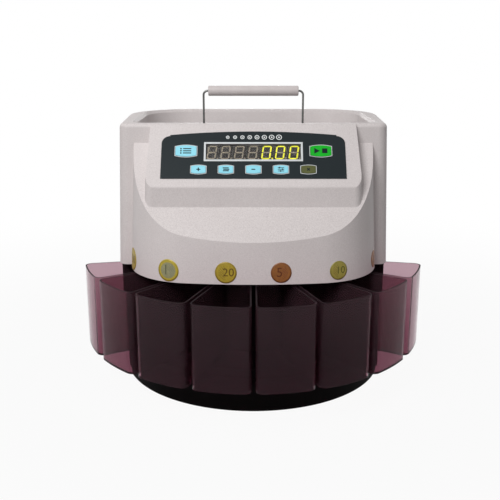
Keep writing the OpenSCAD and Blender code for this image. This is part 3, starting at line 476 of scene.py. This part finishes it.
digits = {"count": 7, "pitch": 13.0, "wide": 8.8, "high": 14.4, "stroke": 1.4, "gap": 0.2, "slant": 8.0,
          "shown": "    000", "shift": -0.5, "under": -1.12, "top": -1.02, "pointAfter": 4, "point": 0.85,
          "pointSteps": 12, "pointIn": 1.6}
segmentsOf = {"0": "abcdef", "1": "bc", "2": "abged", "3": "abgcd", "4": "fgbc", "5": "afgcd", "6": "afgedc",
              "7": "abc", "8": "abcdefg", "9": "abcdfg", " ": ""}


def segment(x0, v0, x1, v1, stroke, gap):
    # a six-cornered stroke between two corners of the digit
    along = Vector((x1 - x0, v1 - v0)).normalized()
    side = Vector((-along.y, along.x)) * stroke / 2
    first = Vector((x0, v0)) + along * gap
    last = Vector((x1, v1)) - along * gap
    nose = along * stroke / 2
    return [tuple(first), tuple(first + nose - side), tuple(last - nose - side), tuple(last),
            tuple(last - nose + side), tuple(first + nose + side)]


def digitSegments():
    halfW = (digits["wide"] - digits["stroke"]) / 2
    halfH = (digits["high"] - digits["stroke"]) / 2
    corners = {"a": (-halfW, halfH, halfW, halfH), "b": (halfW, halfH, halfW, 0),
               "c": (halfW, 0, halfW, -halfH), "d": (halfW, -halfH, -halfW, -halfH),
               "e": (-halfW, -halfH, -halfW, 0), "f": (-halfW, 0, -halfW, halfH),
               "g": (-halfW, 0, halfW, 0)}
    return {key: segment(*ends, digits["stroke"], digits["gap"]) for key, ends in corners.items()}


lit, dim = [], []
lean = math.tan(math.radians(digits["slant"]))
for i in range(digits["count"]):
    centre = (i - (digits["count"] - 1) / 2) * digits["pitch"]
    for key, outline in digitSegments().items():
        leaning = [(centre + digits["shift"] + x + v * lean, panel["displayAt"] + v) for x, v in outline]
        (lit if key in segmentsOf[digits["shown"][i]] else dim).append(leaning)
    pointX = centre + digits["pitch"] / 2 - digits["pointIn"]
    pointV = panel["displayAt"] - digits["high"] / 2 + digits["point"]
    point = moved(disc(digits["point"], digits["pointSteps"]), pointX, pointV)
    (lit if i == digits["pointAfter"] else dim).append(point)
plates("digitsLit", lit, digits["under"], digits["top"], "litSegment", "housing")
plates("digitsDim", dim, digits["under"], digits["top"], "dimSegment", "housing")
print("display segments:", len(lit), "lit,", len(dim), "dim")


# printed marks on the keys and on the film

marks = {"stroke": 1.0, "thick": 0.05, "sink": 0.02, "cross": 1.8, "dotSteps": 14}
listing = {"step": 2.3, "from": -2.8, "to": 5.0, "dot": 0.8, "dotAt": -4.8}
goStop = {"from": -6.2, "tip": -0.9, "half": 3.0, "stopFrom": 1.2, "stopTo": 6.2, "stopHalf": 2.5}
stack = {"step": 1.5, "half": 2.8, "shifts": (-0.2, 0.4, 0.0)}
slider = {"step": 1.7, "half": 3.0, "stroke": 0.55, "knob": 0.85, "knobsAt": (-1.4, 1.5, -0.4)}


def keyMark(node, x, v, strokes):
    top = panel["keyTop"]
    plates(node + "Mark", [moved(stroke, x, v) for stroke in strokes], top - marks["sink"],
           top + marks["thick"], "keyPrint", node)


def rowMark(node, place, strokes):
    keyMark(node, place * panel["keyPitch"], panel["keyRowAt"], strokes)


def crossed(turn):
    # one long bar and two short ones that meet it
    reach, half = marks["cross"], marks["stroke"] / 2
    ends = [(-reach, 0, reach, 0), (0, half, 0, reach), (0, -reach, 0, -half)]
    spin = math.radians(turn)
    return [bar(x0 * math.cos(spin) - v0 * math.sin(spin), x0 * math.sin(spin) + v0 * math.cos(spin),
                x1 * math.cos(spin) - v1 * math.sin(spin), x1 * math.sin(spin) + v1 * math.cos(spin),
                marks["stroke"]) for x0, v0, x1, v1 in ends]


def level(x0, x1, v, thick):
    return bar(x0, v, x1, v, thick)


def dot(radius, x, v):
    return moved(disc(radius, marks["dotSteps"]), x, v)


threeUp = (1, 0, -1)
bigX, bigV = panel["bigKeyAt"]
listed = [level(listing["from"], listing["to"], i * listing["step"], marks["stroke"]) for i in threeUp]
listed += [dot(listing["dot"], listing["dotAt"], i * listing["step"]) for i in threeUp]
arrow = [(goStop["from"], -goStop["half"]), (goStop["tip"], 0.0), (goStop["from"], goStop["half"])]
square = [(goStop["stopFrom"], -goStop["stopHalf"]), (goStop["stopTo"], -goStop["stopHalf"]),
          (goStop["stopTo"], goStop["stopHalf"]), (goStop["stopFrom"], goStop["stopHalf"])]
stacked = [level(shift - stack["half"], shift + stack["half"], i * stack["step"], marks["stroke"])
           for i, shift in zip(threeUp, stack["shifts"])]
sliders = [level(-slider["half"], slider["half"], i * slider["step"], slider["stroke"]) for i in threeUp]
sliders += [dot(slider["knob"], x, i * slider["step"]) for i, x in zip(threeUp, slider["knobsAt"])]
keyMark("key_report", -bigX, bigV, listed)
keyMark("key_start", bigX, bigV, [arrow, square])
rowMark("key_plus", -2, crossed(0))
rowMark("key_batch", -1, stacked)
rowMark("key_minus", 0, [level(-marks["cross"], marks["cross"], 0, marks["stroke"])])
rowMark("key_set", 1, sliders)
rowMark("key_clear", 2, crossed(45))

# a row of coins, small to large, where a name would stand
coinRow = {"count": 8, "pitch": 7.0, "small": 1.7, "large": 2.8, "line": 0.75, "steps": 28, "dotShare": 0.3}
rowRings = []
for i in range(coinRow["count"]):
    share = i / (coinRow["count"] - 1)
    radius = coinRow["small"] + (coinRow["large"] - coinRow["small"]) * share
    centre = (i - (coinRow["count"] - 1) / 2) * coinRow["pitch"]
    strokes = ring(radius, coinRow["line"], coinRow["steps"])
    rowRings += [moved(stroke, centre, panel["titleAt"]) for stroke in strokes]
    rowRings.append(dot(radius * coinRow["dotShare"], centre, panel["titleAt"]))
plates("coinRowPrint", rowRings, panel["film"] - marks["sink"], panel["film"] + marks["thick"], "whitePrint",
       "housing")
print("printed marks done")


# coin stickers on the drum's wall

drum = {"halfWidth": 122.5, "reach": 120.7, "frontRadius": 440.0, "cornerRadius": 66.5, "draft": 3.0}
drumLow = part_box("front_cover")[0].z / mm
labelLow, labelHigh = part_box("coin_labels")
labelAt = (labelLow.z + labelHigh.z) / 2 / mm
cornerX = drum["halfWidth"] - drum["cornerRadius"]
cornerY = (drum["frontRadius"] - drum["reach"]
           - math.sqrt((drum["frontRadius"] - drum["cornerRadius"]) ** 2 - cornerX ** 2))


def onWall(label, across, up, lift):
    # a point on the drum's wall, measured from a sticker's centre, in mm
    height = labelAt + up
    radius = label["bend"] - (height - drumLow) * math.tan(math.radians(drum["draft"])) + lift
    turn = math.radians(label["turn"]) + across / label["bend"]
    return Vector((label["centre"][0] + radius * math.sin(turn),
                   label["centre"][1] - radius * math.cos(turn) + axisY / mm, height)) * mm


sticker = {"share": 0.915, "thick": 0.4, "fold": 0.08, "rings": 7, "steps": 48, "cornerFrom": 10,
           "numberLift": 0.1, "oneDigit": 1.3, "twoDigits": 1.08, "numberCuts": 2, "curveSteps": 4}
goldLook = {"dark": colour(130, 108, 16), "light": colour(190, 167, 46), "ringDark": colour(110, 90, 12),
            "ringLight": colour(184, 160, 42), "inner": 0.88, "lean": -1, "mark": colour(118, 96, 22)}
silverLook = {"dark": colour(112, 111, 76), "light": colour(161, 159, 121), "ringDark": colour(128, 110, 20),
              "ringLight": colour(208, 188, 60), "inner": 0.72, "lean": 1, "mark": colour(120, 122, 100)}
copperLook = {"dark": colour(102, 56, 13), "light": colour(157, 98, 35), "ringDark": colour(88, 46, 10),
              "ringLight": colour(152, 92, 32), "inner": 0.88, "lean": 1, "mark": colour(110, 56, 22)}
limeLook = {"dark": colour(112, 104, 26), "light": colour(174, 160, 69), "ringDark": colour(94, 88, 18),
            "ringLight": colour(168, 156, 62), "inner": 0.88, "lean": -1, "mark": colour(118, 96, 22)}
inkLook = {"grain": 0.4, "cloud": 3, "speckle": 0.9, "drift": 0.5, "rough": 0.5, "gloss": 0.3, "relief": 0.1}
ink = {
    "gold": mouldedPlastic("goldInk", dict(inkLook, dark=colour(78, 56, 10), light=colour(104, 78, 20))),
    "silver": mouldedPlastic("silverInk", dict(inkLook, dark=colour(84, 86, 62), light=colour(108, 110, 82))),
    "copper": mouldedPlastic("copperInk", dict(inkLook, dark=colour(74, 34, 10), light=colour(100, 50, 16))),
    "lime": mouldedPlastic("limeInk", dict(inkLook, dark=colour(66, 66, 14), light=colour(92, 92, 26))),
}
coinFace = {"gold": coinPrint("goldCoin", goldLook), "silver": coinPrint("twoToneCoin", silverLook),
            "copper": coinPrint("copperCoin", copperLook), "lime": coinPrint("paleBrassCoin", limeLook)}
# coin sizes and turns from left to right; stickers are a little under life size
# aside is the numeral's shift from the middle, as a share of the radius
labels = [
    {"name": "A", "turn": -71.0, "coin": 24.25, "metal": "gold", "number": "50", "aside": 0.2},
    {"name": "B", "turn": -21.2, "coin": 23.25, "metal": "silver", "number": "1", "aside": -0.22},
    {"name": "C", "turn": -3.35, "coin": 22.25, "metal": "gold", "number": "20", "aside": 0.24},
    {"name": "D", "turn": 3.35, "coin": 21.25, "metal": "copper", "number": "5", "aside": -0.16},
    {"name": "E", "turn": 21.2, "coin": 19.75, "metal": "lime", "number": "10", "aside": 0.2},
    {"name": "F", "turn": 71.0, "coin": 18.75, "metal": "copper", "number": "2", "aside": -0.16},
]
for label in labels:
    label["size"] = label["coin"] * sticker["share"] / 2
    if abs(label["turn"]) > sticker["cornerFrom"]:
        label["centre"] = (math.copysign(cornerX, label["turn"]), cornerY)
        label["bend"] = drum["cornerRadius"]
    else:
        label["centre"] = (0.0, drum["frontRadius"] - drum["reach"])
        label["bend"] = drum["frontRadius"]


def coinSticker(label):
    # a disc bent to the wall, with its rim turned down on to it
    form = bmesh.new()
    plain = form.loops.layers.uv.new("face")
    spots = {}
    size, steps, rings = label["size"], sticker["steps"], sticker["rings"]

    def spot(across, up, lift):
        vert = form.verts.new(onWall(label, across, up, lift))
        spots[vert] = (across / size, up / size)
        return vert

    hub = spot(0, 0, sticker["thick"])
    # flat circles, then the folded edge, then the foot on the wall
    outlines = [(size * r / rings, sticker["thick"]) for r in range(1, rings)]
    outlines += [(size, sticker["thick"] - sticker["fold"]), (size, marks["sink"])]
    circles = [[spot(x, up, lift) for x, up in disc(reach, steps)] for reach, lift in outlines]
    for i in range(steps):
        j = (i + 1) % steps
        form.faces.new((hub, circles[0][i], circles[0][j]))
        for inner, outer in zip(circles, circles[1:]):
            form.faces.new((inner[i], outer[i], outer[j], inner[j]))
    for face in form.faces:
        face.smooth = True
        for corner in face.loops:
            corner[plain].uv = spots[corner.vert]
    bmesh.ops.recalc_face_normals(form, faces=form.faces)
    mesh = bpy.data.meshes.new("coinSticker" + label["name"])
    form.to_mesh(mesh)
    form.free()
    return addPiece("coinSticker" + label["name"], mesh, coinFace[label["metal"]], "housing")


def stickerNumber(label):
    # plain numerals, cut fine enough to follow the wall
    text = bpy.data.curves.new("number" + label["name"], "FONT")
    text.body = label["number"]
    text.size = label["size"] * sticker["twoDigits" if len(label["number"]) > 1 else "oneDigit"]
    text.align_x = "CENTER"
    text.align_y = "CENTER"
    text.resolution_u = sticker["curveSteps"]
    holder = bpy.data.objects.new("number" + label["name"], text)
    bpy.context.scene.collection.objects.link(holder)
    flat = bpy.data.meshes.new_from_object(holder)
    bpy.data.objects.remove(holder)
    bpy.data.curves.remove(text)
    form = bmesh.new()
    form.from_mesh(flat)
    bpy.data.meshes.remove(flat)
    bmesh.ops.triangulate(form, faces=form.faces)
    bmesh.ops.subdivide_edges(form, edges=form.edges, cuts=sticker["numberCuts"], use_grid_fill=True)
    for vert in form.verts:
        across = vert.co.x + label["aside"] * label["size"]
        vert.co = onWall(label, across, vert.co.y, sticker["thick"] + sticker["numberLift"])
    mesh = bpy.data.meshes.new("stickerNumber" + label["name"])
    form.to_mesh(mesh)
    form.free()
    addPiece("stickerNumber" + label["name"], mesh, ink[label["metal"]], "housing")


for label in labels:
    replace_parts(coinSticker(label), "coin_labels")
    stickerNumber(label)
print("coin stickers:", len(labels))


# floor, light and camera; the studio's lengths in metres

studio = {"floorTone": 0.34, "floorSpread": 0.02, "floorGrain": 0.004, "floorReach": 6.0, "floorGlow": 0.94,
          "glowFrom": 0.2, "glowTo": 0.9, "sky": 0.32, "aim": (0, 0, 0.15),
          "keyAt": (-0.42, -0.82, 1.0), "keySize": 0.55, "keyPower": 10.2,
          "backAt": (0.0, 1.2, 0.2), "backSize": 0.4, "backPower": 4.5}


def grey(value):
    return (value, value, value, 1)


def seenRays(flow):
    # 1 for what the camera sees, straight on or by reflection or through glass
    straight, glossy, through = [flow.make("LightPath", out="Is %s Ray" % kind)
                                 for kind in ("Camera", "Glossy", "Transmission")]
    return (straight + glossy + through).atMost(1.0)


def floorShader(flow):
    place = flow.make("TexCoord", out="Object")
    grain = noise(flow, place, studio["floorGrain"])
    paper = grain.tint(grey(studio["floorTone"]), grey(studio["floorTone"] + studio["floorSpread"]))
    out = flow.make("VectorMath", {"operation": "LENGTH"}, {0: place}, out="Value")
    away = out.step(studio["glowFrom"], studio["glowTo"])
    glow = studio["floorGlow"] + away * (1 - studio["floorGlow"])
    matte = flow.make("BsdfDiffuse", None, {"Color": paper})
    white = flow.make("Emission", None, {"Color": grey(1), "Strength": 1.0})
    return flow.make("MixShader", None, {0: seenRays(flow) * glow, 1: matte, 2: white})


floorMesh = bpy.data.meshes.new("floor")
reach = studio["floorReach"]
floorCorners = [(-reach, -reach, 0), (reach, -reach, 0), (reach, reach, 0), (-reach, reach, 0)]
floorMesh.from_pydata(floorCorners, [], [(0, 1, 2, 3)])
floorPiece = bpy.data.objects.new("floor", floorMesh)
bpy.context.scene.collection.objects.link(floorPiece)
floorMesh.materials.append(newMaterial("floorPaper", floorShader))

world = bpy.data.worlds.new("studio")
bpy.context.scene.world = world
world.use_nodes = True
world.node_tree.nodes.clear()
sky = Flow(world.node_tree)
brightness = studio["sky"] + seenRays(sky) * (1 - studio["sky"])
dome = sky.make("Background", None, {"Color": grey(1), "Strength": brightness})
sky.make("OutputWorld", None, {"Surface": dome})


def softbox(name, place, size, power):
    light = bpy.data.lights.new(name, "AREA")
    light.size = size
    light.energy = power
    lamp = bpy.data.objects.new(name, light)
    bpy.context.scene.collection.objects.link(lamp)
    lamp.location = place
    lamp.rotation_euler = (Vector(studio["aim"]) - lamp.location).to_track_quat("-Z", "Y").to_euler()


softbox("keyBox", studio["keyAt"], studio["keySize"], studio["keyPower"])
softbox("backBox", studio["backAt"], studio["backSize"], studio["backPower"])

# the camera's place in mm, its pitch in degrees
camera = {"side": -3.22, "back": 800.0, "up": 339.86, "pitch": 15.07, "focalPixels": 767.2,
          "framePixels": 500, "sensor": 36.0}
lens = bpy.data.cameras.new("camera")
lens.sensor_width = camera["sensor"]
lens.lens = camera["focalPixels"] / camera["framePixels"] * lens.sensor_width
viewer = bpy.data.objects.new("camera", lens)
bpy.context.scene.collection.objects.link(viewer)
viewer.location = (camera["side"] * mm, axisY - camera["back"] * mm, camera["up"] * mm)
viewer.rotation_euler = (math.radians(90 - camera["pitch"]), 0, 0)
bpy.context.scene.camera = viewer
bpy.context.scene.view_settings.view_transform = "Standard"
print("floor, light and camera set")
